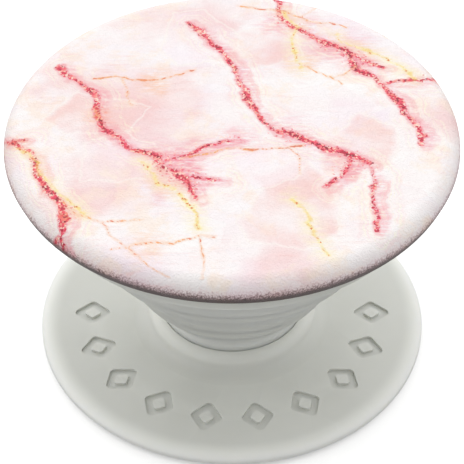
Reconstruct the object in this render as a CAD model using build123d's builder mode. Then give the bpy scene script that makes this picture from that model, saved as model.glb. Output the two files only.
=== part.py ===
"""Collapsible phone grip: a printed round top on a folding soft neck over a stick-on base.

Units are millimetres. The origin is the centre of the adhesive's lower face and +Z runs up
the neck, towards the printed top. The grip is modelled pulled out to its full height.

The neck is one soft moulding: stiff conical walls joined by thin webs. Pushing the top down
turns each web inside out, and the walls then nest inside one another round the foot. The
printed top is a separate cap that locks on to the neck with a quarter turn.
"""

import os
from math import cos, hypot, radians, sin

from build123d import *

# Driving dimensions
CAP_RADIUS = 20.0
BASE_RADIUS = 18.25
TIER = 3.0  # height of every wall and of every web
FLOOR = 1.4  # where the lowest tier starts
WALL = 0.9  # radial thickness of the stiff walls
WEB = 0.45  # radial thickness of the folding webs
GAP = 0.1  # running clearance between pieces that slip past each other

# Outer radius of the neck at the ends of its seven tiers, from the foot up to the collar
NECK_RADII = (6.75, 6.95, 9.3, 10.9, 13.1, 14.9, 17.1, 17.5)
NECK = [(radius, FLOOR + level * TIER) for level, radius in enumerate(NECK_RADII)]
CROWN = NECK[-1][1]  # the plane of the cap's underside
FOOT, COLLAR = 0, 6  # tiers with shapes of their own at the neck's two ends

# Adhesive stack, upwards from the face that meets the phone
PAD_RADIUS = 17.0
GEL_TOP = 0.45
FILM_TOP = 0.55
BOND_TOP = 0.65

# Platform: a thin plate, a rim skirt and a flared boss round the bore
PLATE_TOP = 1.3
RIM_TOP = 0.85
RIM_SHOULDER = BASE_RADIUS - 1.1
SKIRT_FOOT = 0.3
SKIRT_INNER = PAD_RADIUS + 0.35
SKIRT_CHAMFER = 0.25
BORE_RADIUS = NECK_RADII[FOOT] + GAP / 2
BOSS_TOP = 3.15
BOSS_BEND = 2.25  # height where the boss turns from convex to hollow
BOSS_LIP = BORE_RADIUS + GAP
BOSS_WAIST = BORE_RADIUS + 1.1
BOSS_FOOT = BORE_RADIUS + 2.7
FLANGE_RADIUS = 7.8
FLANGE_TOP = 0.95

# Recessed lozenges on the platform, over the half circle in front
MARK_COUNT = 10
MARK_CIRCLE = 13.4
MARK_LENGTH = 3.9
MARK_WIDTH = 3.2
MARK_STROKE = 0.7
MARK_CORNER = 0.5
MARK_DEPTH = 0.26
MARK_CORE = 1 - 2 * MARK_STROKE * hypot(MARK_LENGTH, MARK_WIDTH) / MARK_LENGTH / MARK_WIDTH

# Foot sleeve and the anchor plug inside it
SLEEVE_BORE = 5.8
PLUG_RADIUS = SLEEVE_BORE - 0.05
PLUG_FLOOR = 1.4
PLUG_TOP = 3.3
BEAD_FOOT = 2.4
BEAD_TOP = 2.9
BEAD_RISE = 0.15
FINGER = 0.9
FINGER_COUNT = 4
FINGER_GAP = 1.2

# Cap
PRINT = 0.3  # thickness of the printed film
RIM_RISE = 1.6  # from the cap's widest circle up to its face
RIM_ROUND = 1.8
RIM_DROP = 0.7  # from the widest circle down to the underside
RIM_CENTRE = CAP_RADIUS - RIM_ROUND
SIDE_TAPER = 0.28  # how far the side draws in below the widest circle
SIDE_FOOT = CROWN + 0.15
CAP_OUTLINE = CROWN + RIM_DROP
CAP_TOP = CAP_OUTLINE + RIM_RISE
RECESS_RADIUS = NECK_RADII[-1] + 0.35
RECESS_CEILING = CROWN + 1.25

# Collar: a raised band round its lower edge, and a fine groove above the band
BAND_RADIUS = NECK_RADII[COLLAR + 1] + 0.15
BAND_FOOT = NECK[COLLAR][1] + 0.15
BAND_TOP = BAND_FOOT + 0.85
GROOVE = 0.15

# Quarter-turn lock between the collar and the cap
QUARTER_TURN = 90.0
COLLAR_TOP = RECESS_CEILING - GAP
RECEIVER_RADIUS = 16.3
TONGUE = 0.5
TONGUE_FOOT = CROWN + 0.4
TONGUE_TOP = CROWN + 0.8
LEDGE_FOOT = COLLAR_TOP - 0.5
LEDGE_RADIUS = 10.5
LOCK_BORE = 8.15
HUB_RADIUS = 7.9
HUB_CORE = 6.2
HUB_FLOOR = CROWN + 0.65
SPIGOT_RADIUS = 3.0
LUG_RADIUS = 10.3
LUG_SPAN = 50.0
LUG_FOOT = CROWN + GAP / 2
LUG_TOP = LEDGE_FOOT - GAP
SLOT_SPAN = LUG_SPAN + 6
STOP_SPAN = 180 - QUARTER_TURN - LUG_SPAN
STOP_MIDDLE = QUARTER_TURN + LUG_SPAN / 2 + STOP_SPAN / 2
STOP_SLACK = 1.0  # degrees left between a lug and its stop
DETENT_BEAD = 0.42
DETENT_NOTCH = 0.5
ARM = 0.65
ARM_SLOT = 0.4
MOAT_INNER = LEDGE_RADIUS + 1.1
MOAT_OUTER = RECEIVER_RADIUS - 1.1
MOAT_DEPTH = 0.7
RIB_COUNT = 12
RIB = 0.8


def on_circle(radius, angle):
    """Return the point at this radius and at this angle in degrees."""
    return (radius * cos(radians(angle)), radius * sin(radians(angle)))


def sector(inner, outer, middle, span):
    """Return an annular sector, centred on the angle called middle."""
    start = middle - span / 2
    end = middle + span / 2
    with BuildSketch() as wedge:
        with BuildLine():
            CenterArc((0, 0), outer, start, span)
            CenterArc((0, 0), inner, start, span)
            Line(on_circle(inner, start), on_circle(outer, start))
            Line(on_circle(inner, end), on_circle(outer, end))
        make_face()
    return wedge.sketch


def opposite_sectors(inner, outer, middle, span):
    """Return a sector and its twin on the other side of the axis."""
    with BuildSketch() as pair:
        add(sector(inner, outer, middle, span))
        add(sector(inner, outer, middle + 180, span))
    return pair.sketch


def lozenge(length, width, corner):
    """Return a lozenge with rounded corners and its long diagonal along X."""
    with BuildSketch() as shape:
        with BuildLine():
            Polyline(
                (length / 2, 0), (0, width / 2), (-length / 2, 0), (0, -width / 2), close=True
            )
        make_face()
        fillet(shape.vertices(), corner)
    return shape.sketch


def tier_section(tier, thickness, inner_round=0.0):
    """Return the upright section of one tier of the neck, on the XZ plane."""
    foot = NECK[tier]
    head = NECK[tier + 1]
    with BuildSketch(Plane.XZ) as section:
        with BuildLine():
            Polyline(
                foot, head, (head[0] - thickness, head[1]), (foot[0] - thickness, foot[1]), close=True
            )
        make_face()
        if inner_round:
            levels = section.vertices().group_by(Axis.Y)
            fillet([level.sort_by(Axis.X)[0] for level in levels], inner_round)
    return section.sketch


def write(piece, name):
    """Label a finished piece and write its STEP file."""
    piece.part.label = name
    export_step(piece.part, f"parts/{name}.step")


os.makedirs("parts", exist_ok=True)

# Gel pad: the washable adhesive that meets the phone
with BuildPart() as gel_pad:
    with BuildSketch():
        Circle(PAD_RADIUS)
    extrude(amount=GEL_TOP)
    fillet(gel_pad.edges(), 0.15)
write(gel_pad, "gel_pad")

# Carrier film: the sheet that holds the gel
with BuildPart() as carrier_film:
    with BuildSketch(Plane.XY.offset(GEL_TOP)):
        Circle(PAD_RADIUS)
    extrude(amount=FILM_TOP - GEL_TOP)
write(carrier_film, "carrier_film")

# Bond layer: the permanent adhesive between the film and the platform
with BuildPart() as bond_layer:
    with BuildSketch(Plane.XY.offset(FILM_TOP)):
        Circle(PAD_RADIUS)
    extrude(amount=BOND_TOP - FILM_TOP)
write(bond_layer, "bond_layer")

# Platform: its plate, skirt and boss in one turned section, then the marks
with BuildPart() as platform:
    with BuildSketch(Plane.XZ):
        with BuildLine():
            Polyline(
                (BOSS_LIP, BOSS_TOP),
                (BORE_RADIUS, BOSS_TOP - GAP),
                (BORE_RADIUS, FLANGE_TOP + GAP / 2),
                (FLANGE_RADIUS + GAP, FLANGE_TOP + GAP / 2),
                (FLANGE_RADIUS + GAP, BOND_TOP),
                (SKIRT_INNER, BOND_TOP),
                (SKIRT_INNER, SKIRT_FOOT),
                (BASE_RADIUS - SKIRT_CHAMFER, SKIRT_FOOT),
                (BASE_RADIUS, SKIRT_FOOT + SKIRT_CHAMFER),
                (BASE_RADIUS, RIM_TOP),
            )
            EllipticalCenterArc(
                (RIM_SHOULDER, RIM_TOP), BASE_RADIUS - RIM_SHOULDER, PLATE_TOP - RIM_TOP
            )
            Line((RIM_SHOULDER, PLATE_TOP), (BOSS_FOOT, PLATE_TOP))
            EllipticalCenterArc(
                (BOSS_FOOT, BOSS_BEND),
                BOSS_FOOT - BOSS_WAIST,
                BOSS_BEND - PLATE_TOP,
                start_angle=180,
            )
            EllipticalCenterArc(
                (BOSS_LIP, BOSS_BEND), BOSS_WAIST - BOSS_LIP, BOSS_TOP - BOSS_BEND
            )
        make_face()
    revolve(axis=Axis.Z)
    with BuildSketch(Plane.XY.offset(PLATE_TOP - MARK_DEPTH)):
        with PolarLocations(MARK_CIRCLE, MARK_COUNT, 180, 180, endpoint=True):
            add(lozenge(MARK_LENGTH, MARK_WIDTH, MARK_CORNER))
        with PolarLocations(MARK_CIRCLE, MARK_COUNT, 180, 180, endpoint=True):
            add(
                lozenge(
                    MARK_LENGTH * MARK_CORE, MARK_WIDTH * MARK_CORE, MARK_CORNER * MARK_CORE
                ),
                mode=Mode.SUBTRACT,
            )
    extrude(amount=MARK_DEPTH, mode=Mode.SUBTRACT)
write(platform, "platform")

# Foot sleeve: the neck's lowest wall, with the flange that the platform holds down
with BuildPart() as foot_sleeve:
    with BuildSketch(Plane.XZ):
        with BuildLine():
            Polyline(
                (SLEEVE_BORE, BOND_TOP),
                (FLANGE_RADIUS, BOND_TOP),
                (FLANGE_RADIUS, FLANGE_TOP),
                (NECK_RADII[FOOT], FLANGE_TOP),
                (NECK_RADII[FOOT], BOSS_TOP),
                NECK[FOOT + 1],
                (NECK_RADII[FOOT + 1] - WALL, NECK[FOOT + 1][1]),
                (SLEEVE_BORE, PLUG_TOP),
                (SLEEVE_BORE, BEAD_TOP + BEAD_RISE),
                (SLEEVE_BORE + BEAD_RISE, BEAD_TOP),
                (SLEEVE_BORE + BEAD_RISE, BEAD_FOOT),
                (SLEEVE_BORE, BEAD_FOOT - BEAD_RISE),
                close=True,
            )
        make_face()
    revolve(axis=Axis.Z)
write(foot_sleeve, "foot_sleeve")

# Anchor plug: snaps up into the sleeve on four fingers and closes its lower end
with BuildPart() as anchor_plug:
    with BuildSketch(Plane.XZ):
        with BuildLine():
            Polyline(
                (0, BOND_TOP),
                (PLUG_RADIUS, BOND_TOP),
                (PLUG_RADIUS, BEAD_FOOT),
                (PLUG_RADIUS + BEAD_RISE, BEAD_FOOT + BEAD_RISE),
                (PLUG_RADIUS + BEAD_RISE, BEAD_TOP - BEAD_RISE),
                (PLUG_RADIUS, BEAD_TOP),
                (PLUG_RADIUS, PLUG_TOP),
                (PLUG_RADIUS - FINGER, PLUG_TOP),
                (PLUG_RADIUS - FINGER, PLUG_FLOOR),
                (0, PLUG_FLOOR),
                close=True,
            )
        make_face()
    revolve(axis=Axis.Z)
    with BuildSketch(Plane.XY.offset(PLUG_FLOOR)):
        with PolarLocations(PLUG_RADIUS, FINGER_COUNT, 45):
            Rectangle(3 * FINGER, FINGER_GAP)
    extrude(amount=PLUG_TOP - PLUG_FLOOR, mode=Mode.SUBTRACT)
write(anchor_plug, "anchor_plug")

# Lower web: the thin ring that folds between the foot and the lower wall
with BuildPart() as lower_web:
    add(tier_section(1, WEB))
    revolve(axis=Axis.Z)
write(lower_web, "lower_web")

# Lower wall
with BuildPart() as lower_wall:
    add(tier_section(2, WALL, WALL / 3))
    revolve(axis=Axis.Z)
write(lower_wall, "lower_wall")

# Middle web
with BuildPart() as middle_web:
    add(tier_section(3, WEB))
    revolve(axis=Axis.Z)
write(middle_web, "middle_web")

# Upper wall
with BuildPart() as upper_wall:
    add(tier_section(4, WALL, WALL / 3))
    revolve(axis=Axis.Z)
write(upper_wall, "upper_wall")

# Upper web
with BuildPart() as upper_web:
    add(tier_section(5, WEB))
    revolve(axis=Axis.Z)
write(upper_web, "upper_web")

# Collar wall: the neck's widest wall, moulded round the rigid receiver
with BuildPart() as collar_wall:
    with BuildSketch(Plane.XZ):
        with BuildLine():
            Polyline(
                NECK[COLLAR],
                (BAND_RADIUS, BAND_FOOT),
                (BAND_RADIUS, BAND_TOP),
                (NECK_RADII[COLLAR + 1] - GROOVE, BAND_TOP),
                (NECK_RADII[COLLAR + 1] - GROOVE, BAND_TOP + GROOVE),
                (NECK_RADII[COLLAR + 1], BAND_TOP + GROOVE),
                (NECK_RADII[COLLAR + 1], COLLAR_TOP - 2 * GAP),
                (NECK_RADII[COLLAR + 1] - 2 * GAP, COLLAR_TOP),
                (RECEIVER_RADIUS, COLLAR_TOP),
                (RECEIVER_RADIUS, TONGUE_TOP),
                (RECEIVER_RADIUS + TONGUE, TONGUE_TOP),
                (RECEIVER_RADIUS + TONGUE, TONGUE_FOOT),
                (RECEIVER_RADIUS, TONGUE_FOOT),
                (RECEIVER_RADIUS, CROWN),
                (NECK_RADII[COLLAR] - WALL, NECK[COLLAR][1]),
                close=True,
            )
        make_face()
    revolve(axis=Axis.Z)
write(collar_wall, "collar_wall")

# Receiver ring: the neck's half of the lock, a ledge with two slots, and two stops below it
with BuildPart() as receiver_ring:
    with BuildSketch(Plane.XZ):
        with BuildLine():
            Polyline(
                (LOCK_BORE, LEDGE_FOOT),
                (LEDGE_RADIUS, LEDGE_FOOT),
                (LEDGE_RADIUS, CROWN),
                (RECEIVER_RADIUS, CROWN),
                (RECEIVER_RADIUS, TONGUE_FOOT),
                (RECEIVER_RADIUS + TONGUE, TONGUE_FOOT),
                (RECEIVER_RADIUS + TONGUE, TONGUE_TOP),
                (RECEIVER_RADIUS, TONGUE_TOP),
                (RECEIVER_RADIUS, COLLAR_TOP),
                (LOCK_BORE, COLLAR_TOP),
                close=True,
            )
        make_face()
    revolve(axis=Axis.Z)
    with BuildSketch(Plane.XY.offset(CROWN)):
        Circle(MOAT_OUTER)
        Circle(MOAT_INNER, mode=Mode.SUBTRACT)
        with PolarLocations((MOAT_INNER + MOAT_OUTER) / 2, RIB_COUNT, 180 / RIB_COUNT):
            Rectangle(MOAT_OUTER - MOAT_INNER + RIB, RIB, mode=Mode.SUBTRACT)
    extrude(amount=MOAT_DEPTH, mode=Mode.SUBTRACT)
    with BuildSketch(Plane.XY.offset(CROWN)):
        add(
            opposite_sectors(
                LOCK_BORE, (LEDGE_RADIUS + MOAT_INNER) / 2, STOP_MIDDLE, STOP_SPAN - 2 * STOP_SLACK
            )
        )
    extrude(amount=LEDGE_FOOT - CROWN)
    with BuildSketch(Plane.XY.offset(LEDGE_FOOT)):
        add(opposite_sectors(LOCK_BORE - 1, LEDGE_RADIUS, QUARTER_TURN, SLOT_SPAN))
        with PolarLocations(LOCK_BORE - DETENT_NOTCH / 2, 2):
            Circle(DETENT_NOTCH)
    extrude(amount=COLLAR_TOP - LEDGE_FOOT, mode=Mode.SUBTRACT)
write(receiver_ring, "receiver_ring")

# Lock hub: welded under the cap, with two lugs below the ledge and two sprung beads
with BuildPart() as lock_hub:
    with BuildSketch(Plane.XY.offset(LUG_FOOT)):
        Circle(HUB_RADIUS)
    extrude(amount=RECESS_CEILING - LUG_FOOT)
    with BuildSketch(Plane.XY.offset(LUG_FOOT)):
        add(opposite_sectors(HUB_RADIUS - 1, LUG_RADIUS, 0, LUG_SPAN))
    extrude(amount=LUG_TOP - LUG_FOOT)
    with BuildSketch(Plane.XY.offset(LEDGE_FOOT)):
        with PolarLocations(LOCK_BORE - GAP / 2 - DETENT_BEAD, 2):
            Circle(DETENT_BEAD)
    extrude(amount=COLLAR_TOP - LEDGE_FOOT)
    with BuildSketch(Plane.XY.offset(LUG_FOOT)):
        Circle(HUB_CORE)
    extrude(amount=HUB_FLOOR - LUG_FOOT, mode=Mode.SUBTRACT)
    with BuildSketch(Plane.XY.offset(HUB_FLOOR)):
        Circle(SPIGOT_RADIUS + GAP / 2)
        add(opposite_sectors(HUB_RADIUS - ARM - ARM_SLOT, HUB_RADIUS - ARM, 0, SLOT_SPAN))
    extrude(amount=RECESS_CEILING - HUB_FLOOR, mode=Mode.SUBTRACT)
write(lock_hub, "lock_hub")

# Cap disc: a shallow moulding, recessed below for the collar, with a centring spigot
with BuildPart() as cap_disc:
    with BuildSketch(Plane.XZ):
        with BuildLine():
            Polyline(
                (RIM_CENTRE, CAP_TOP - PRINT),
                (0, CAP_TOP - PRINT),
                (0, HUB_FLOOR),
                (SPIGOT_RADIUS, HUB_FLOOR),
                (SPIGOT_RADIUS, RECESS_CEILING),
                (RECESS_RADIUS, RECESS_CEILING),
                (RECESS_RADIUS, CROWN),
                (CAP_RADIUS - PRINT - SIDE_TAPER - GAP, CROWN),
                (CAP_RADIUS - PRINT - SIDE_TAPER, SIDE_FOOT),
                (CAP_RADIUS - PRINT, CAP_OUTLINE),
            )
            EllipticalCenterArc((RIM_CENTRE, CAP_OUTLINE), RIM_ROUND - PRINT, RIM_RISE - PRINT)
        make_face()
    revolve(axis=Axis.Z)
write(cap_disc, "cap_disc")

# Printed film: the decorated skin over the cap's face and round its rim
with BuildPart() as print_film:
    with BuildSketch(Plane.XZ):
        with BuildLine():
            EllipticalCenterArc((RIM_CENTRE, CAP_OUTLINE), RIM_ROUND - PRINT, RIM_RISE - PRINT)
            Polyline(
                (CAP_RADIUS - PRINT, CAP_OUTLINE),
                (CAP_RADIUS - PRINT - SIDE_TAPER, SIDE_FOOT),
                (CAP_RADIUS - SIDE_TAPER, SIDE_FOOT),
                (CAP_RADIUS, CAP_OUTLINE),
            )
            EllipticalCenterArc((RIM_CENTRE, CAP_OUTLINE), RIM_ROUND, RIM_RISE)
            Polyline(
                (RIM_CENTRE, CAP_TOP),
                (0, CAP_TOP),
                (0, CAP_TOP - PRINT),
                (RIM_CENTRE, CAP_TOP - PRINT),
            )
        make_face()
    revolve(axis=Axis.Z)
write(print_film, "print_film")
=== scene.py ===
"""Looks of the collapsible phone grip: its folding neck, its printed cap and its plastics.

All lengths are metres in the frame's own axes: the origin is the centre of the adhesive's
lower face and +Z runs up the neck.
"""

import math

import bmesh
import bpy
import numpy as np
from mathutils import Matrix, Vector


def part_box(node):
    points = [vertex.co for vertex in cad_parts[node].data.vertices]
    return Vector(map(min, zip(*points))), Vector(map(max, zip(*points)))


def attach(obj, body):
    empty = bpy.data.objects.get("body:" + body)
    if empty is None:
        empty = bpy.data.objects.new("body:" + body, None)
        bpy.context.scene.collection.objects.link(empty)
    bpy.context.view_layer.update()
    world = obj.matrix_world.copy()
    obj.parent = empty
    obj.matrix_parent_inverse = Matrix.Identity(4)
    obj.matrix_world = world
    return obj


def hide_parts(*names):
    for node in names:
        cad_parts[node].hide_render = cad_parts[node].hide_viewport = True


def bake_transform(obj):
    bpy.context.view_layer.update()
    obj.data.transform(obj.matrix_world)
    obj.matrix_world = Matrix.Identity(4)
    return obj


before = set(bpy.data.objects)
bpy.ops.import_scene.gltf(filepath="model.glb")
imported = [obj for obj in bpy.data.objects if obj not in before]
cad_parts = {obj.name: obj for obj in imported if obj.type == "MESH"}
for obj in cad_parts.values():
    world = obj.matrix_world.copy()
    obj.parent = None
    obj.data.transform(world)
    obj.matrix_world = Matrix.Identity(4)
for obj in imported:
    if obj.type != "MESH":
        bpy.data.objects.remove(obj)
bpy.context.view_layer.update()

MM = 0.001
TOUCH = 0.02 * MM  # vertices this close to a height are on it
CONTACT = 0.1 * MM  # a surface this close to the floor rests on it
SKIN = 0.25 * MM  # corners this close under a turned piece's outside belong to its outer side

# Light: a soft sky, brightest behind the grip and a little to the left, with a low panel in front
SKY_TOP = 0.97
SKY_SIDES = 1.2
SKY_BACK = 0.88
SKY_LEFT = 0.12
SKY_FRONT = 1.5
SKY_FADE = 0.25
SKY_BELOW = 0.8  # seen only by undersides, through the floor
FLOOR_HALF = 1.5
FLOOR_GLOW = 0.35  # seen by the camera alone
FLOOR_BOUNCE = (205, 205, 205)  # the floor's colour for light that bounces off it

CAMERA_DISTANCE = 175 * MM
CAMERA_ELEVATION = math.radians(46.06)
CAMERA_AIM = Vector((0, 0, 11.9 * MM))
CAMERA_LENS = 140.1
SENSOR_WIDTH = 36

RIGID_COLOUR = (222, 223, 217)

# How much lighter the white plastics are made, in steps of a screen colour; all but the worn edges
# are painted light
WORN_EDGE = 14
BOSS_PAINTED_LIGHT = 18
FOOT_PAINTED_LIGHT = 22
EDGE_PAINTED_LIGHT = 28

# Distances from the origin on the platform, in millimetres
MARKS_FROM = (10.4, 10.8)
MARKS_TO = (15.8, 16.2)
# where the plate is painted lighter towards its edge, as painted light
PAINTED_LIGHT_BAND = (16.3, 18.3)

# Mesh density
ROUND_STEPS = 256  # segments round a turned piece
PRINT_STEPS = 720  # segments round the printed film
PRINT_RINGS = 76  # rings across the film's flat face
RIM_RINGS = 20  # rings down the film's rounded rim
WEB_RINGS = 28  # outline points up each folding web
CORNER_STEPS = 6  # segments round an outline's rounded corner
SHARP_ANGLE = math.radians(40)  # edges that turn by more than this stay crisp


# ---------------------------------------------------------------- meshes


def node_points(node):
    """Return a CAD node's vertices as an array."""
    return np.array([v.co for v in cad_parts[node].data.vertices])


def radii_at(node, height):
    """Return the inner and outer radius of a CAD node's vertices at this height."""
    points = node_points(node)
    level = points[np.abs(points[:, 2] - height) < TOUCH]
    radius = np.hypot(level[:, 0], level[:, 1])
    return radius.min(), radius.max()


def rounded(points, reach):
    """Round the inner corners of an open outline, each over at most reach on either side."""
    points = [np.array(p, float) for p in points]
    out = [points[0]]
    for before, corner, after in zip(points, points[1:], points[2:]):
        back = before - corner
        ahead = after - corner
        near = min(reach, np.linalg.norm(back) * 0.45, np.linalg.norm(ahead) * 0.45)
        start = corner + back / np.linalg.norm(back) * near
        end = corner + ahead / np.linalg.norm(ahead) * near
        for t in np.linspace(0, 1, CORNER_STEPS + 1):
            out.append((1 - t) ** 2 * start + 2 * t * (1 - t) * corner + t**2 * end)
    out.append(points[-1])
    return out


def resampled(points, spacing):
    """Add points along an outline, so that no step is longer than spacing."""
    out = [points[0]]
    for a, b in zip(points, points[1:]):
        count = max(1, math.ceil(np.linalg.norm(b - a) / spacing))
        out += [a + (b - a) * i / count for i in range(1, count + 1)]
    return out


def turned(name, outline, steps=ROUND_STEPS):
    """Make a closed solid of revolution from a closed outline of (radius, height) points."""
    count = len(outline)
    angles = np.linspace(0, 2 * math.pi, steps, endpoint=False)
    vertices = [
        (r * math.cos(a), r * math.sin(a), z) for a in angles for r, z in outline
    ]
    faces = []
    for i in range(steps):
        here, there = i * count, (i + 1) % steps * count
        for j in range(count):
            k = (j + 1) % count
            faces.append((here + j, there + j, there + k, here + k))
    mesh = bpy.data.meshes.new(name)
    mesh.from_pydata(vertices, [], faces)
    clean(mesh)
    piece = bpy.data.objects.new(name, mesh)
    bpy.context.scene.collection.objects.link(piece)
    return piece


def clean(mesh):
    """Weld doubled points, turn the faces outwards and mark the sharp edges."""
    work = bmesh.new()
    work.from_mesh(mesh)
    bmesh.ops.remove_doubles(work, verts=work.verts, dist=TOUCH / 20)
    bmesh.ops.recalc_face_normals(work, faces=work.faces)
    for face in work.faces:
        face.smooth = True
    work.to_mesh(mesh)
    work.free()
    mesh.set_sharp_from_angle(angle=SHARP_ANGLE)


# ---------------------------------------------------------------- shader nodes


def linear(red, green, blue):
    """Turn a screen colour, 0 to 255, into the linear colour that shaders use."""
    out = []
    for value in (red, green, blue):
        share = value / 255
        out.append(share / 12.92 if share <= 0.04045 else ((share + 0.055) / 1.055) ** 2.4)
    return (*out, 1.0)


class Nodes:
    """A node tree, with a short method for each kind of node that it needs."""

    def __init__(self, tree):
        self.tree = tree

    def feed(self, socket, value):
        if isinstance(value, bpy.types.NodeSocket):
            self.tree.links.new(value, socket)
        else:
            socket.default_value = value

    def node(self, kind, inputs, **settings):
        made = self.tree.nodes.new(kind)
        for key, value in settings.items():
            setattr(made, key, value)
        for key, value in inputs.items():
            self.feed(made.inputs[key], value)
        return made

    def math(self, operation, a, b=0.0, clamp=False):
        inputs = {0: a, 1: b}
        return self.node("ShaderNodeMath", inputs, operation=operation, use_clamp=clamp).outputs[0]

    def step(self, value, low, high):
        """Rise smoothly from 0 at low to 1 at high, or fall if low is the larger."""
        flip = low > high
        inputs = {"Value": value, "From Min": min(low, high), "From Max": max(low, high)}
        made = self.node("ShaderNodeMapRange", inputs, interpolation_type="SMOOTHSTEP")
        if flip:
            made.inputs["To Min"].default_value = 1.0
            made.inputs["To Max"].default_value = 0.0
        return made.outputs[0]

    def mix(self, share, a, b, blend="MIX"):
        inputs = {0: share, 6: a, 7: b}
        made = self.node("ShaderNodeMix", inputs, data_type="RGBA", blend_type=blend)
        return made.outputs[2]

    def place(self, per_mm=(1, 1, 1), turn=0.0):
        """Object coordinates in millimetres, scaled per axis."""
        source = self.node("ShaderNodeTexCoord", {}).outputs["Object"]
        inputs = {
            "Vector": source,
            "Rotation": (0, 0, turn),
            "Scale": tuple(s / MM for s in per_mm),
        }
        return self.node("ShaderNodeMapping", inputs).outputs[0]

    def noise(self, where, scale, detail=3.0, rough=0.5, colour=False):
        inputs = {"Vector": where, "Scale": scale, "Detail": detail, "Roughness": rough}
        made = self.node("ShaderNodeTexNoise", inputs)
        return made.outputs["Color" if colour else "Fac"]

    def cells(self, where, scale, output="Distance"):
        inputs = {"Vector": where, "Scale": scale}
        return self.node("ShaderNodeTexVoronoi", inputs).outputs[output]

    def warp(self, where, by, amount):
        """Shift a place by a colour noise, by up to amount each way."""
        centred = self.node(
            "ShaderNodeVectorMath", {0: by, 1: (0.5, 0.5, 0.5)}, operation="SUBTRACT"
        ).outputs[0]
        inputs = {0: centred, 1: (2 * amount,) * 3, 2: where}
        return self.node("ShaderNodeVectorMath", inputs, operation="MULTIPLY_ADD").outputs[0]

    def ramp(self, value, *stops):
        made = self.node("ShaderNodeValToRGB", {"Fac": value})
        elements = made.color_ramp.elements
        while len(elements) < len(stops):
            elements.new(0.5)
        for element, (position, colour) in zip(elements, stops):
            element.position = position
            element.color = colour
        return made.outputs[0]

    def attribute(self, name):
        return self.node("ShaderNodeAttribute", {}, attribute_name=name).outputs["Fac"]

    def bump(self, height, depth, normal=None):
        inputs = {"Height": height, "Distance": depth, "Strength": 1.0}
        if normal is not None:
            inputs["Normal"] = normal
        return self.node("ShaderNodeBump", inputs).outputs[0]

    def split(self, colour):
        """Return a colour's three channels as separate values."""
        return self.node("ShaderNodeSeparateColor", {0: colour}).outputs[:3]

    def blend_sum(self, *weighted):
        """Return the sum of (weight, value) pairs."""
        total = 0.0
        for weight, value in weighted:
            total = self.node(
                "ShaderNodeMath", {0: value, 1: weight, 2: total}, operation="MULTIPLY_ADD"
            ).outputs[0]
        return total


class Shader(Nodes):
    """A surface material."""

    def __init__(self, name):
        self.material = bpy.data.materials.new(name)
        self.material.use_nodes = True
        super().__init__(self.material.node_tree)
        self.tree.nodes.clear()
        self.output = self.node("ShaderNodeOutputMaterial", {})
        self.surface = self.node("ShaderNodeBsdfPrincipled", {})
        self.tree.links.new(self.surface.outputs[0], self.output.inputs["Surface"])

    def finish(self, **inputs):
        for key, value in inputs.items():
            self.feed(self.surface.inputs[key.replace("_", " ")], value)
        return self.material


def soft_scatter(shader, share, depth):
    """Let light soak into the plastic by about this depth."""
    shader.surface.subsurface_method = "RANDOM_WALK"
    shader.finish(Subsurface_Weight=share, Subsurface_Scale=depth)
    shader.surface.inputs["Subsurface Radius"].default_value = (1.0, 0.95, 0.85)


def moulded_plastic(name, colour, roughness, scatter, depth, grain, levels=None, foot=None):
    """Satin moulded plastic: faint clouding, a fine grain, lighter rubbed edges.

    levels is the height of the recesses' floors, of the face round them and of the boss's top.
    The floors get a fine mottle and are painted darker, as painted shade in the recesses; the boss
    is painted lighter, as painted light. foot is the height below which a piece is painted lighter,
    as painted light on the neck's foot.
    """
    shader = Shader(name)
    place = shader.place()
    cloud = shader.noise(place, 0.09, 3)
    shade = shader.mix(
        shader.step(cloud, 0.35, 0.65),
        linear(*(c - 4 for c in colour)),
        linear(*(c + 2 for c in colour)),
    )
    worn = shader.node("ShaderNodeNewGeometry", {}).outputs["Pointiness"]
    edge = shader.math("MULTIPLY", shader.step(worn, 0.52, 0.6), 0.35)
    shade = shader.mix(edge, shade, linear(*(c + WORN_EDGE for c in colour)))
    smear = shader.noise(place, 0.35, 4, 0.6)
    rough = shader.node(
        "ShaderNodeMapRange",
        {"Value": smear, "To Min": roughness - 0.06, "To Max": roughness + 0.08},
    ).outputs[0]
    fine = shader.noise(place, 9.0, 2, 0.6)
    wavy = shader.noise(place, 0.5, 2)
    normal = shader.bump(fine, grain)
    normal = shader.bump(wavy, 4 * grain, normal)
    height = shader.node("ShaderNodeSeparateXYZ", {0: place}).outputs[2]
    # Painted light: below the foot height the neck's colour is made lighter
    if foot is not None:
        painted_lighter = shader.step(height, foot / MM, foot / MM - 2.5)
        shade = shader.mix(painted_lighter, shade, linear(*(c + FOOT_PAINTED_LIGHT for c in colour)))
    if levels is not None:
        floor, face, boss = (level / MM for level in levels)
        length = shader.node("ShaderNodeVectorMath", {0: place}, operation="LENGTH")
        far = length.outputs["Value"]
        sunk = shader.step(height, face - 0.03, floor + (face - floor) * 0.2)
        sunk = shader.math("MULTIPLY", sunk, shader.step(far, *MARKS_FROM))
        sunk = shader.math("MULTIPLY", sunk, shader.step(far, *MARKS_TO[::-1]))
        # Painted shade: the marks' floors are made darker in colour, under a fine mottle
        spark_mottle_and_shade = shader.mix(
            fine, linear(*(c - 9 for c in colour)), linear(*(c - 1 for c in colour))
        )
        shade = shader.mix(sunk, shade, spark_mottle_and_shade)
        # Painted light: the boss, above the plate's face, is made lighter in colour
        painted_lighter = shader.step(height, face + 0.1, boss - 0.5)
        shade = shader.mix(painted_lighter, shade, linear(*(c + BOSS_PAINTED_LIGHT for c in colour)))
        # Painted light: the plate's colour is made lighter towards its outer edge
        painted_edge_light = shader.step(far, *PAINTED_LIGHT_BAND)
        shade = shader.mix(painted_edge_light, shade, linear(*(c + EDGE_PAINTED_LIGHT for c in colour)))
    soft_scatter(shader, scatter, depth)
    return shader.finish(
        Base_Color=shade, Roughness=rough, Normal=normal, IOR=1.47, Specular_IOR_Level=0.5
    )


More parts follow.
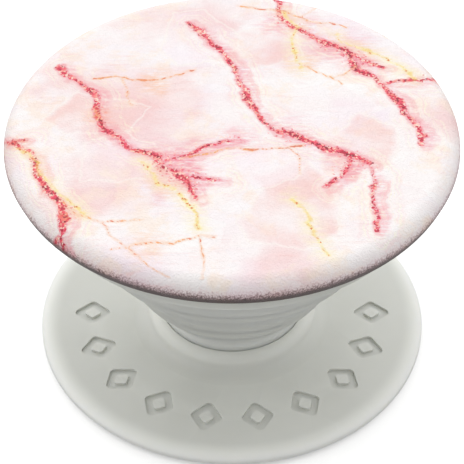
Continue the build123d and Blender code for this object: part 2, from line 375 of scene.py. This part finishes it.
def gel():
    """Washable adhesive gel: translucent, glossy and slightly dimpled, with a few fibres of dust."""
    shader = Shader("gel")
    place = shader.place()
    cloud = shader.noise(place, 0.15, 4, 0.6)
    shade = shader.mix(cloud, linear(176, 180, 182), linear(196, 199, 200))
    dust = shader.noise(shader.warp(place, cloud, 2.0), 2.6, 2, 0.4)
    shade = shader.mix(shader.step(dust, 0.72, 0.8), shade, linear(120, 122, 124))
    dimple = shader.bump(shader.noise(place, 0.7, 3, 0.5), 0.05 * MM)
    soft_scatter(shader, 0.5, 0.6 * MM)
    return shader.finish(
        Base_Color=shade, Roughness=shader.math("MULTIPLY", cloud, 0.5), Normal=dimple, IOR=1.42
    )


def clear_film():
    """Frosted carrier film with faint rolling marks."""
    shader = Shader("film")
    place = shader.place()
    rolled = shader.noise(shader.place((0.2, 3.0, 1)), 1.0, 3, 0.6)
    shade = shader.mix(rolled, linear(214, 216, 216), linear(228, 230, 230))
    fine = shader.bump(shader.noise(place, 6.0, 2), 0.004 * MM)
    return shader.finish(Base_Color=shade, Roughness=0.32, Normal=fine, Coat_Weight=0.3)


def platform_levels():
    """Return the heights of the marks' floors, of the plate's face and of the boss's top."""
    points = node_points("platform")
    radius = np.hypot(points[:, 0], points[:, 1])
    on_plate = (radius > 0.65 * radius.max()) & (radius < 0.85 * radius.max())
    heights = np.unique(np.round(points[on_plate, 2], 6))
    return heights[-2], heights[-1], points[:, 2].max()


def rigid_plastic(name, levels=None):
    """The white plastic of the platform, the lock and the cap's body."""
    return moulded_plastic(name, RIGID_COLOUR, 0.38, 0.4, 0.8 * MM, 0.003 * MM, levels)


def dress(nodes, material):
    """Give CAD nodes a material."""
    for node in nodes:
        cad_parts[node].data.materials.clear()
        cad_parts[node].data.materials.append(material)


# ---------------------------------------------------------------- the folding neck

NECK_COLOUR = (219, 220, 214)
NECK_ENDS = ("foot_sleeve", "collar_wall")
NECK_FOLDS = (
    ("neck_lower_fold", ("foot_sleeve", "lower_web", "lower_wall"), ("base", "lower_tier")),
    ("neck_middle_fold", ("lower_wall", "middle_web", "upper_wall"), ("lower_tier", "upper_tier")),
    ("neck_upper_fold", ("upper_wall", "upper_web", "collar_wall"), ("upper_tier", "collar")),
)
FOOT_SEAL = 0.06 * MM  # how far the neck's foot reaches below the boss's top, to close the gap
OUTER_ROUND = 0.9 * MM
INNER_ROUND = 0.5 * MM


def corners(node):
    """Return a turned CAD node's corners as (radius, height) pairs, read off its seam."""
    points = node_points(node)
    seam = points[(np.abs(points[:, 1]) < TOUCH) & (points[:, 0] > 0)]
    return {(round(x, 7), round(z, 7)) for x, z in seam[:, [0, 2]].tolist()}


def whole_side(node, joint, outer):
    """Return the corners of a turned node's outer or inner side, from the bottom up."""
    split = radii_at(node, joint)[1] - SKIN
    left = [corner for corner in corners(node) if (corner[0] > split) == outer]
    path = [min(left, key=lambda corner: corner[1])]
    left.remove(path[0])
    while left:
        height = min(z for _, z in left)
        level = [corner for corner in left if corner[1] - height < TOUCH / 10]
        path.append(min(level, key=lambda corner: abs(corner[0] - path[-1][0])))
        left.remove(path[-1])
    return path


def wall_sides(node, joint, thickness):
    """Return a stiff wall's two sides up to its joint with a web.

    The neck's two end walls come whole. A wall between two webs starts at its middle, where
    the next moulding meets it.
    """
    low, high = (corner.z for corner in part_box(node))
    if node == NECK_ENDS[0]:
        outer, inner = (whole_side(node, joint, side) for side in (True, False))
        stem, seat = outer[-2]
        foot = outer[-1][0]
        seal = [(stem, seat - 2 * FOOT_SEAL), (foot, seat - FOOT_SEAL)]
        return outer[:-2] + seal + outer[-1:], inner
    if node == NECK_ENDS[1]:
        return [whole_side(node, joint, side)[::-1] for side in (True, False)]
    reach = radii_at(node, joint)[1]
    middle = (reach + radii_at(node, low + high - joint)[1]) / 2
    outer = [(middle, (low + high) / 2), (reach, joint)]
    return outer, [(radius - thickness, height) for radius, height in outer]


def neck_outline(foot, web, wall):
    """Return the closed outline of one moulding: a foot wall, the web above it and the next wall."""
    low, high = (corner.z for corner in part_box(web))
    stiff_in, stiff_out = radii_at(NECK_ENDS[0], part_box(NECK_ENDS[0])[1].z)
    below_out, below_in = wall_sides(foot, low, stiff_out - stiff_in)
    above_out, above_in = wall_sides(wall, high, stiff_out - stiff_in)
    lip = 0.12 * (high - low)
    hollow = [
        (below_in[-1][0], low - lip),
        (radii_at(web, low)[0], low + lip),
        (radii_at(web, high)[0], high - lip),
        (above_in[-1][0], high + lip),
    ]
    spacing = (high - low) / WEB_RINGS
    outer = resampled(rounded(below_out + above_out[::-1], OUTER_ROUND), spacing)
    inner = resampled(rounded(below_in[:-1] + hollow + above_in[-2::-1], INNER_ROUND), spacing)
    return outer + inner[::-1]


def neck():
    """Make the neck as three closed mouldings, one for each fold."""
    finish = moulded_plastic(
        "soft_neck", NECK_COLOUR, 0.42, 0.7, 1.6 * MM, 0.004 * MM, foot=6.8 * MM
    )
    for name, nodes, bodies in NECK_FOLDS:
        piece = turned(name, neck_outline(*nodes))
        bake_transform(piece)
        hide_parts(*nodes)
        piece.data.materials.append(finish)


# ---------------------------------------------------------------- the printed cap

# The marble is a generic one: its veins, plates and patches are drawn at random from this seed.
# Lengths in this section are millimetres on the cap's face.
PRINT_SEED = 11
PRINT_REACH = 21.0  # how far from the centre the print runs, measured over the rim
VEIN_STEP = 1.7
VEIN_BEND = 0.55  # the most a vein turns at a step, in radians
RED_VEINS = {"count": 4, "grain": -0.95, "length": 30, "width": 0.26, "branches": 2}
YELLOW_VEINS = {"count": 5, "grain": 1.9, "length": 11, "width": 0.16}
ORANGE_THREADS = {"count": 6, "grain": -0.1, "length": 10, "width": 0.06, "branches": 1}
STAIN_SHIFT = np.array((-0.5, 0.35))  # stains lie to one side of their vein
FARTHEST = 12.0  # distances from a vein or plate stop counting here


def wander(rng, start, heading, length, width):
    """Return a crooked vein from start, as (x, y, half width) points."""
    place, turn = np.array(start, float), heading
    points = []
    for _ in range(max(3, round(length / VEIN_STEP))):
        points.append((*place, width * rng.uniform(0.3, 1.4)))
        turn += rng.uniform(-VEIN_BEND, VEIN_BEND) + 0.4 * (heading - turn)
        stride = VEIN_STEP * rng.uniform(0.6, 1.4)
        place = place + stride * np.array((math.cos(turn), math.sin(turn)))
    return points


def vein_family(rng, count, grain, length, width, branches=0):
    """Return veins side by side that run roughly along grain, and the branches that leave them.

    grain is a direction in radians, and width is the veins' usual half width.
    """
    along = np.array((math.cos(grain), math.sin(grain)))
    across = np.array((-along[1], along[0]))
    veins = []
    for i in range(count):
        lane = PRINT_REACH * (2 * (i + rng.uniform(0.25, 0.75)) / count - 1)
        half = math.sqrt(PRINT_REACH**2 - lane**2)
        reach = min(length * rng.uniform(0.7, 1.2), 2 * half)
        start = lane * across - along * rng.uniform(reach - half, half)
        vein = wander(rng, start, grain + rng.uniform(-0.3, 0.3), reach, width)
        veins.append(vein)
        for _ in range(branches):
            x, y, _ = vein[rng.integers(1, len(vein))]
            aside = grain + rng.choice((-1, 1)) * rng.uniform(0.7, 1.3)
            veins.append(wander(rng, (x, y), aside, rng.uniform(4, 10), 0.5 * width))
    return veins


def crystal_plates(rng, count, size):
    """Return angular plates scattered over the face, as their corners."""
    plates = []
    for _ in range(count):
        turn, far = rng.uniform(0, 2 * math.pi), PRINT_REACH * math.sqrt(rng.uniform(0, 0.8))
        centre = far * np.array((math.cos(turn), math.sin(turn)))
        sides = rng.integers(5, 8)
        plate = []
        for corner in range(sides):
            angle = (corner + rng.uniform(0, 0.7)) * 2 * math.pi / sides
            reach = size * rng.uniform(0.75, 1.2)
            plate.append(tuple(centre + reach * np.array((math.cos(angle), math.sin(angle)))))
        plates.append(plate)
    return plates


def spots(rng, count, size, strength, veins=None):
    """Return soft patches, as (x, y, half lengths, strength), anywhere or lying on the veins."""
    out = []
    for _ in range(count):
        turn, far = rng.uniform(0, 2 * math.pi), PRINT_REACH * math.sqrt(rng.uniform(0, 1))
        x, y = far * math.cos(turn), far * math.sin(turn)
        if veins is not None:
            vein = veins[rng.integers(len(veins))]
            x, y, _ = vein[rng.integers(len(vein))]
        wide, tall = size * rng.uniform(0.6, 1.5, 2)
        out.append((x, y, wide, tall, strength * rng.uniform(0.6, 1.3)))
    return out


def smooth_noise(points, scale, seed):
    """Return gentle noise from -1 to 1 at points on a plane, from a seeded lattice."""
    size = 64
    lattice = np.random.default_rng(seed).uniform(-1, 1, (size, size))
    where = points / scale + size / 2
    cell = np.floor(where).astype(int)
    part = where - cell
    part = part * part * (3 - 2 * part)
    x, y = cell[:, 0] % size, cell[:, 1] % size
    low = lattice[x, y] * (1 - part[:, 0]) + lattice[(x + 1) % size, y] * part[:, 0]
    y = (y + 1) % size
    high = lattice[x, y] * (1 - part[:, 0]) + lattice[(x + 1) % size, y] * part[:, 0]
    return low * (1 - part[:, 1]) + high * part[:, 1]


def vein_distance(points, veins):
    """Return how far outside the nearest vein points are, and negative values inside one."""
    best = np.full(len(points), FARTHEST)
    for vein in veins:
        for (ax, ay, a_width), (bx, by, b_width) in zip(vein, vein[1:]):
            along = np.array([bx - ax, by - ay])
            offset = points - np.array([ax, ay])
            share = np.clip(offset @ along / (along @ along), 0, 1)
            gap = np.linalg.norm(offset - share[:, None] * along, axis=1)
            best = np.minimum(best, gap - (a_width + share * (b_width - a_width)))
    return best


def plate_depth(points, plates):
    """Return how far inside the nearest plate points are, and negative values outside all."""
    best = np.full(len(points), -FARTHEST)
    for plate in plates:
        ring = [*plate, plate[0]]
        inside = np.zeros(len(points), bool)
        for (ax, ay), (bx, by) in zip(ring, ring[1:]):
            across = (points[:, 1] > ay) != (points[:, 1] > by)
            side = ax + (points[:, 1] - ay) * (bx - ax) / ((by - ay) or 1.0)
            inside ^= across & (points[:, 0] < side)
        gap = vein_distance(points, [[(x, y, 0) for x, y in ring]])
        best = np.maximum(best, np.where(inside, gap, -gap))
    return best


def patches(points, spots):
    """Return the summed strength of soft oval patches at points."""
    total = np.zeros(len(points))
    for x, y, across, along, strength in spots:
        square = ((points[:, 0] - x) / across) ** 2 + ((points[:, 1] - y) / along) ** 2
        total += strength * np.exp(-(square**1.5))
    return total


def print_film():
    """Make the printed film as a fine mesh that carries the layout of its marble veins."""
    low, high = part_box("print_film")
    radius, top = high.x, high.z
    inner_edge, outer_edge = radii_at("print_film", low.z)
    thickness = outer_edge - inner_edge
    flat = node_points("print_film")
    flat = flat[flat[:, 2] > top - TOUCH]
    shoulder = np.hypot(flat[:, 0], flat[:, 1]).max()
    widest = node_points("print_film")
    widest = widest[np.hypot(widest[:, 0], widest[:, 1]) > radius - TOUCH][:, 2].max()
    quarter = np.linspace(math.pi / 2, 0, RIM_RINGS + 1)
    face = [(shoulder * i / PRINT_RINGS, top) for i in range(PRINT_RINGS)]
    rim = [
        (shoulder + (radius - shoulder) * math.cos(a), widest + (top - widest) * math.sin(a))
        for a in quarter
    ]
    side = [
        (outer_edge + (radius - outer_edge) * t, low.z + (widest - low.z) * t)
        for t in (0.6, 0.3, 0)
    ]
    reach, rise = radius - shoulder - thickness, top - widest - thickness
    under = [
        (shoulder + reach * math.cos(a), widest + rise * math.sin(a)) for a in quarter[::-4]
    ]
    outline = face + rim + side + [(inner_edge, low.z)] + under + [(0, top - thickness)]
    film = turned("print_film_face", outline, PRINT_STEPS)

    place = np.array([v.co for v in film.data.vertices])
    span = np.hypot(place[:, 0], place[:, 1])
    wrapped = span + np.where(span > shoulder * 0.99, top - place[:, 2], 0)
    points = place[:, :2] / np.maximum(span, 1e-9)[:, None] * wrapped[:, None] / MM
    coarse = np.stack([smooth_noise(points, 1.6, 1), smooth_noise(points, 1.6, 2)], axis=1)
    fine = np.stack([smooth_noise(points, 0.5, 3), smooth_noise(points, 0.5, 4)], axis=1)
    bent = points + 0.25 * coarse + 0.16 * fine
    rng = np.random.default_rng(PRINT_SEED)
    red = vein_family(rng, **RED_VEINS)
    yellow = vein_family(rng, **YELLOW_VEINS)
    orange = vein_family(rng, **ORANGE_THREADS)
    fields = {
        "red_vein": vein_distance(bent, red),
        "stain": vein_distance(bent + STAIN_SHIFT, red),
        "yellow_vein": vein_distance(bent, yellow),
        "orange_thread": vein_distance(points + 0.12 * fine, orange),
        "pink_plate": plate_depth(bent, crystal_plates(rng, 5, 4.2)),
        "pale_plate": plate_depth(bent, crystal_plates(rng, 5, 4.0)),
        "pink": patches(points + 1.2 * coarse, spots(rng, 12, 3.6, 0.6)),
        "mauve": patches(points + 1.2 * coarse, spots(rng, 8, 3.0, 0.7)),
        "haze": patches(points + 0.8 * coarse, spots(rng, 9, 1.8, 0.7, red)),
        "amber": patches(points + 0.8 * coarse, spots(rng, 7, 1.3, 0.7, red + orange)),
        "rim": np.clip((top - place[:, 2]) / (top - low.z), 0, 1),
    }
    for name, values in fields.items():
        layer = film.data.attributes.new(name, "FLOAT", "POINT")
        layer.data.foreach_set("value", values.astype(np.float32))
    film.data.materials.append(marble_print())
    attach(film, "cap")
    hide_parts("print_film")


def marble_ground(shader, place):
    """Near-white clouding into pale pink and mauve, in angular plates with silky streaks."""
    bent = shader.warp(place, shader.noise(place, 0.12, 3, colour=True), 2.0)
    cloud = shader.noise(bent, 0.2, 5, 0.6)
    pink = shader.blend_sum((1.0, shader.attribute("pink")), (0.9, cloud), (-0.45, 1.0))
    shade = shader.mix(shader.step(pink, -0.05, 1.05), linear(254, 252, 251), linear(247, 207, 205))
    mauve = shader.math("MULTIPLY", shader.step(shader.attribute("mauve"), 0.1, 1.0), 0.6)
    shade = shader.mix(mauve, shade, linear(249, 228, 240))
    cream = shader.step(shader.noise(bent, 0.3, 4, 0.65), 0.5, 0.66)
    shade = shader.mix(shader.math("MULTIPLY", cream, 0.6), shade, linear(255, 240, 222))
    for scale, turn, strength in ((0.16, 0.5, 0.22), (0.4, -0.35, 0.16)):
        shard = shader.place((scale, 1.7 * scale, scale), turn=turn)
        shard = shader.warp(shard, shader.noise(place, 0.5, 2, colour=True), 0.12)
        tint, glow, _ = shader.split(shader.cells(shard, 1.0, "Color"))
        plate = shader.ramp(
            tint,
            (0.0, linear(255, 255, 255)),
            (0.4, linear(253, 238, 238)),
            (0.7, linear(249, 242, 252)),
            (1.0, linear(252, 230, 226)),
        )
        inside = shader.step(shader.cells(shard, 1.0), 0.9, 0.1)
        amount = shader.blend_sum((strength, 1.0), (strength, glow), (-strength, inside))
        shade = shader.mix(amount, shade, plate, "MULTIPLY")
    silk = shader.noise(shader.place((0.22, 2.6, 1), turn=0.1), 1.0, 4, 0.7)
    where = shader.step(cloud, 0.42, 0.62)
    silk = shader.math("MULTIPLY", shader.step(silk, 0.5, 0.72), shader.math("MULTIPLY", where, 0.4))
    shade = shader.mix(silk, shade, linear(248, 212, 210), "MULTIPLY")
    for name, colour in (("pink_plate", (248, 208, 203)), ("pale_plate", (253, 241, 246))):
        depth = shader.blend_sum((1.0, shader.attribute(name)), (0.5, cloud), (-0.25, 1.0))
        shade = shader.mix(
            shader.math("MULTIPLY", shader.step(depth, -0.2, 0.7), shader.step(cloud, 0.2, 0.8)),
            shade,
            linear(*colour),
        )
        edge = shader.math("MULTIPLY", shader.step(shader.math("ABSOLUTE", depth), 0.22, 0.0), 0.5)
        shade = shader.mix(edge, shade, linear(254, 246, 240))
    return shade


def marble_bands(shader, place, shade):
    """Onyx bands that run alongside the red veins and fade away from them."""
    reach = shader.attribute("stain")
    wander = shader.noise(place, 0.5, 3, 0.6)
    fray = shader.noise(place, 2.4, 3, 0.7)
    phase = shader.blend_sum((1.5, reach), (2.0, wander), (0.2, fray))
    wave = shader.noise(shader.node("ShaderNodeCombineXYZ", {0: phase}).outputs[0], 1.0, 2, 0.6)
    patchy = shader.step(shader.noise(place, 0.4, 3, 0.7), 0.38, 0.54)
    near = shader.math("MULTIPLY", shader.step(reach, 2.4, 0.5), patchy)
    rosy = shader.math("MULTIPLY", shader.step(wave, 0.44, 0.64), near)
    shade = shader.mix(shader.math("MULTIPLY", rosy, 0.55), shade, linear(248, 196, 192))
    crest = shader.math("ABSOLUTE", shader.math("SUBTRACT", wave, 0.46))
    light = shader.math("MULTIPLY", shader.step(crest, 0.035, 0.0), near)
    return shader.mix(shader.math("MULTIPLY", light, 0.85), shade, linear(255, 246, 218))


def marble_stains(shader, place, shade):
    """Streaky pink stains beside the red veins and cream beside the yellow ones."""
    streak = shader.noise(shader.place((0.8, 3.2, 1), turn=0.25), 1.0, 4, 0.7)
    crumble = shader.noise(place, 3.4, 4, 0.7)
    wide = shader.math("MULTIPLY", shader.step(shader.attribute("stain"), 0.9, -0.1), 0.6)
    wide = shader.math("ADD", wide, shader.attribute("haze"), clamp=True)
    wide = shader.math("MULTIPLY", wide, shader.step(streak, 0.32, 0.64))
    shade = shader.mix(shader.math("MULTIPLY", wide, 0.8), shade, linear(242, 134, 154))
    amber = shader.math("MULTIPLY", shader.attribute("amber"), shader.step(streak, 0.34, 0.62))
    shade = shader.mix(shader.math("MULTIPLY", amber, 0.7, clamp=True), shade, linear(249, 186, 138))
    close = shader.step(shader.attribute("red_vein"), 0.34, -0.05)
    close = shader.math("MULTIPLY", close, shader.step(crumble, 0.36, 0.58))
    shade = shader.mix(shader.math("MULTIPLY", close, 0.85), shade, linear(236, 96, 118))
    cream = shader.math("MULTIPLY", shader.step(shader.attribute("yellow_vein"), 1.4, 0.0), 0.6)
    cream = shader.math("MULTIPLY", cream, shader.step(streak, 0.3, 0.6))
    return shader.mix(cream, shade, linear(253, 243, 204))


def marble_veins(shader, place, shade):
    """Crimson crumbs along the red veins, soft yellow veins and fine orange threads."""
    torn = shader.warp(place, shader.noise(place, 6.0, 2, colour=True), 0.16)
    chance, tone, _ = shader.split(shader.cells(torn, 5.4, "Color"))
    drift = shader.noise(place, 0.7, 3, 0.6)
    red = shader.attribute("red_vein")
    tone = shader.blend_sum((0.95, tone), (1.0, drift), (0.6, red), (-0.4, 1.0))
    crumb = shader.ramp(
        tone,
        (0.05, linear(150, 0, 40)),
        (0.25, linear(206, 14, 60)),
        (0.45, linear(233, 48, 84)),
        (0.62, linear(245, 92, 112)),
        (0.78, linear(252, 156, 144)),
        (0.95, linear(255, 222, 206)),
    )
    cloudy = shader.noise(place, 0.45, 2)
    amber = shader.blend_sum((0.9, shader.attribute("amber")), (1.6, cloudy), (-0.82, 1.0))
    amber = shader.math("MULTIPLY", amber, tone, clamp=True)
    crumb = shader.mix(amber, crumb, linear(240, 132, 58))
    stray = shader.blend_sum((0.35, shader.attribute("haze")), (0.25, shader.attribute("amber")))
    likely = shader.blend_sum((-4.0, red), (0.66, 1.0), (-1.0, chance))
    shade = shader.mix(shader.step(likely, 0.0, 0.14), shade, crumb)
    loose = shader.math("GREATER_THAN", shader.math("MULTIPLY", stray, 0.6), chance)
    loose = shader.math("MULTIPLY", loose, shader.step(red, 1.5, 0.2))
    shade = shader.mix(shader.math("MULTIPLY", loose, 0.7), shade, crumb)

    waver = shader.noise(place, 2.2, 3, 0.6)
    yellow = shader.attribute("yellow_vein")
    soft = shader.step(shader.blend_sum((1.0, yellow), (0.7, waver)), 0.55, 0.1)
    glint = shader.mix(shader.step(waver, 0.4, 0.6), linear(247, 214, 112), linear(252, 244, 140))
    shade = shader.mix(shader.math("MULTIPLY", soft, 0.85), shade, glint)
    thread = shader.blend_sum((1.0, shader.attribute("orange_thread")), (0.24, waver))
    shade = shader.mix(
        shader.math("MULTIPLY", shader.step(thread, 0.36, 0.1), 0.45), shade, linear(248, 196, 150)
    )
    fine = shader.mix(shader.step(drift, 0.42, 0.6), linear(226, 104, 60), linear(246, 172, 98))
    fine = shader.mix(shader.attribute("amber"), fine, linear(246, 150, 84))
    shade = shader.mix(shader.math("MULTIPLY", shader.step(thread, 0.17, 0.1), 0.9), shade, fine)
    speck = shader.blend_sum((-1.2, yellow), (0.08, 1.0), (-1.0, chance))
    return shader.mix(shader.step(speck, 0.0, 0.1), shade, linear(224, 122, 60))


def marble_print():
    """Pink and white marble ink under a pebbled clear skin, with painted shade that darkens it round
    the rim.
    """
    shader = Shader("marble_print")
    place = shader.place()
    shade = marble_ground(shader, place)
    shade = marble_bands(shader, place, shade)
    shade = marble_stains(shader, place, shade)
    shade = marble_veins(shader, place, shade)

    grain_place = shader.warp(place, shader.noise(place, 1.5, 2, colour=True), 0.3)
    pebble = shader.cells(grain_place, 6.0)
    grain = shader.noise(place, 6.0, 2, 0.6)
    rim = shader.blend_sum((1.0, shader.attribute("rim")), (0.3, pebble), (-0.13, 1.0))
    # Painted shade: the colour darkens down the rim, speckled by the pebbles, to a dark line at the
    # lower edge
    fall = shader.ramp(
        rim,
        (0.0, (1.0, 1.0, 1.0, 1)),
        (0.32, (1.0, 0.98, 0.98, 1)),
        (0.45, (0.94, 0.86, 0.87, 1)),
        (0.56, (0.64, 0.53, 0.54, 1)),
        (0.68, (0.26, 0.19, 0.19, 1)),
        (0.8, (0.1, 0.07, 0.07, 1)),
    )
    shade = shader.mix(1.0, shade, fall, "MULTIPLY")
    normal = shader.bump(pebble, 0.045 * MM)
    rough = shader.node(
        "ShaderNodeMapRange", {"Value": grain, "To Min": 0.38, "To Max": 0.55}
    ).outputs[0]
    return shader.finish(
        Base_Color=shade, Roughness=rough, Normal=normal, IOR=1.5, Coat_Weight=0.15,
        Coat_Roughness=0.3,
    )


# ---------------------------------------------------------------- light, floor, camera


def studio():
    """Plain pale floor under a soft sky.

    The floor is clear from below and where a piece rests on it, so undersides can be seen.
    """
    mesh = bpy.data.meshes.new("floor")
    square = ((-1, -1), (1, -1), (1, 1), (-1, 1))
    mesh.from_pydata(
        [(FLOOR_HALF * x, FLOOR_HALF * y, -TOUCH) for x, y in square], [], [(0, 1, 2, 3)]
    )
    floor = bpy.data.objects.new("floor", mesh)
    bpy.context.scene.collection.objects.link(floor)
    shader = Shader("pale_floor")
    speck = shader.noise(shader.place(), 0.02, 2)
    shade = shader.mix(speck, linear(246, 246, 246), linear(250, 250, 250))
    path = shader.node("ShaderNodeLightPath", {}).outputs
    seen = path["Is Camera Ray"]
    shade = shader.mix(seen, linear(*FLOOR_BOUNCE), shade)
    geometry = shader.node("ShaderNodeNewGeometry", {}).outputs
    close = shader.math("LESS_THAN", path["Ray Length"], CONTACT)
    see_through = shader.math("MAXIMUM", close, geometry["Backfacing"])
    floor.data.materials.append(
        shader.finish(
            Base_Color=shade,
            Roughness=0.8,
            Specular_IOR_Level=0.1,
            Emission_Color=linear(255, 255, 255),
            Emission_Strength=shader.math("MULTIPLY", seen, FLOOR_GLOW),
            Alpha=shader.math("SUBTRACT", 1.0, see_through),
        )
    )

    world = bpy.data.worlds.new("studio")
    bpy.context.scene.world = world
    world.use_nodes = True
    sky = Nodes(world.node_tree)
    background = world.node_tree.nodes["Background"]
    background.inputs["Color"].default_value = (1, 1, 1, 1)
    ray = sky.node("ShaderNodeTexCoord", {}).outputs["Generated"]
    x, y, z = sky.node("ShaderNodeSeparateXYZ", {0: ray}).outputs
    sides = sky.math("MULTIPLY", sky.math("MULTIPLY", x, x), z)
    ahead = sky.math("MAXIMUM", sky.math("MULTIPLY", y, -1.0), 0.0)
    front = sky.math("POWER", sky.math("MULTIPLY", ahead, sky.math("SUBTRACT", 1.0, z)), 3.0)
    glow = sky.blend_sum(
        (SKY_TOP, 1.0), (SKY_SIDES, sides), (SKY_BACK, y), (-SKY_LEFT, x), (SKY_FRONT, front)
    )
    fade = sky.math("POWER", sky.math("MAXIMUM", z, 0.0), SKY_FADE)
    below = sky.math("MULTIPLY", sky.math("LESS_THAN", z, 0.0), SKY_BELOW)
    inputs = {0: glow, 1: fade, 2: below}
    light = sky.node("ShaderNodeMath", inputs, operation="MULTIPLY_ADD").outputs[0]
    seen = sky.node("ShaderNodeLightPath", {}).outputs["Is Camera Ray"]
    sky.feed(background.inputs["Strength"], sky.math("MAXIMUM", light, seen))


def camera():
    """Look down at the grip from in front."""
    data = bpy.data.cameras.new("camera")
    data.sensor_width = SENSOR_WIDTH
    data.lens = CAMERA_LENS
    eye = bpy.data.objects.new("camera", data)
    eye.location = (
        0,
        -CAMERA_DISTANCE * math.cos(CAMERA_ELEVATION),
        CAMERA_DISTANCE * math.sin(CAMERA_ELEVATION),
    )
    eye.rotation_mode = "QUATERNION"
    eye.rotation_quaternion = (CAMERA_AIM - eye.location).to_track_quat("-Z", "Y")
    data.clip_start = 0.01
    data.clip_end = 10
    bpy.context.scene.collection.objects.link(eye)
    bpy.context.scene.camera = eye
    bpy.context.scene.view_settings.view_transform = "Standard"


# ---------------------------------------------------------------- build the scene

neck()
print_film()
dress(("platform",), rigid_plastic("platform_white", platform_levels()))
dress(("cap_disc", "lock_hub", "receiver_ring", "anchor_plug"), rigid_plastic("rigid_white"))
dress(("gel_pad",), gel())
dress(("carrier_film", "bond_layer"), clear_film())
studio()
camera()
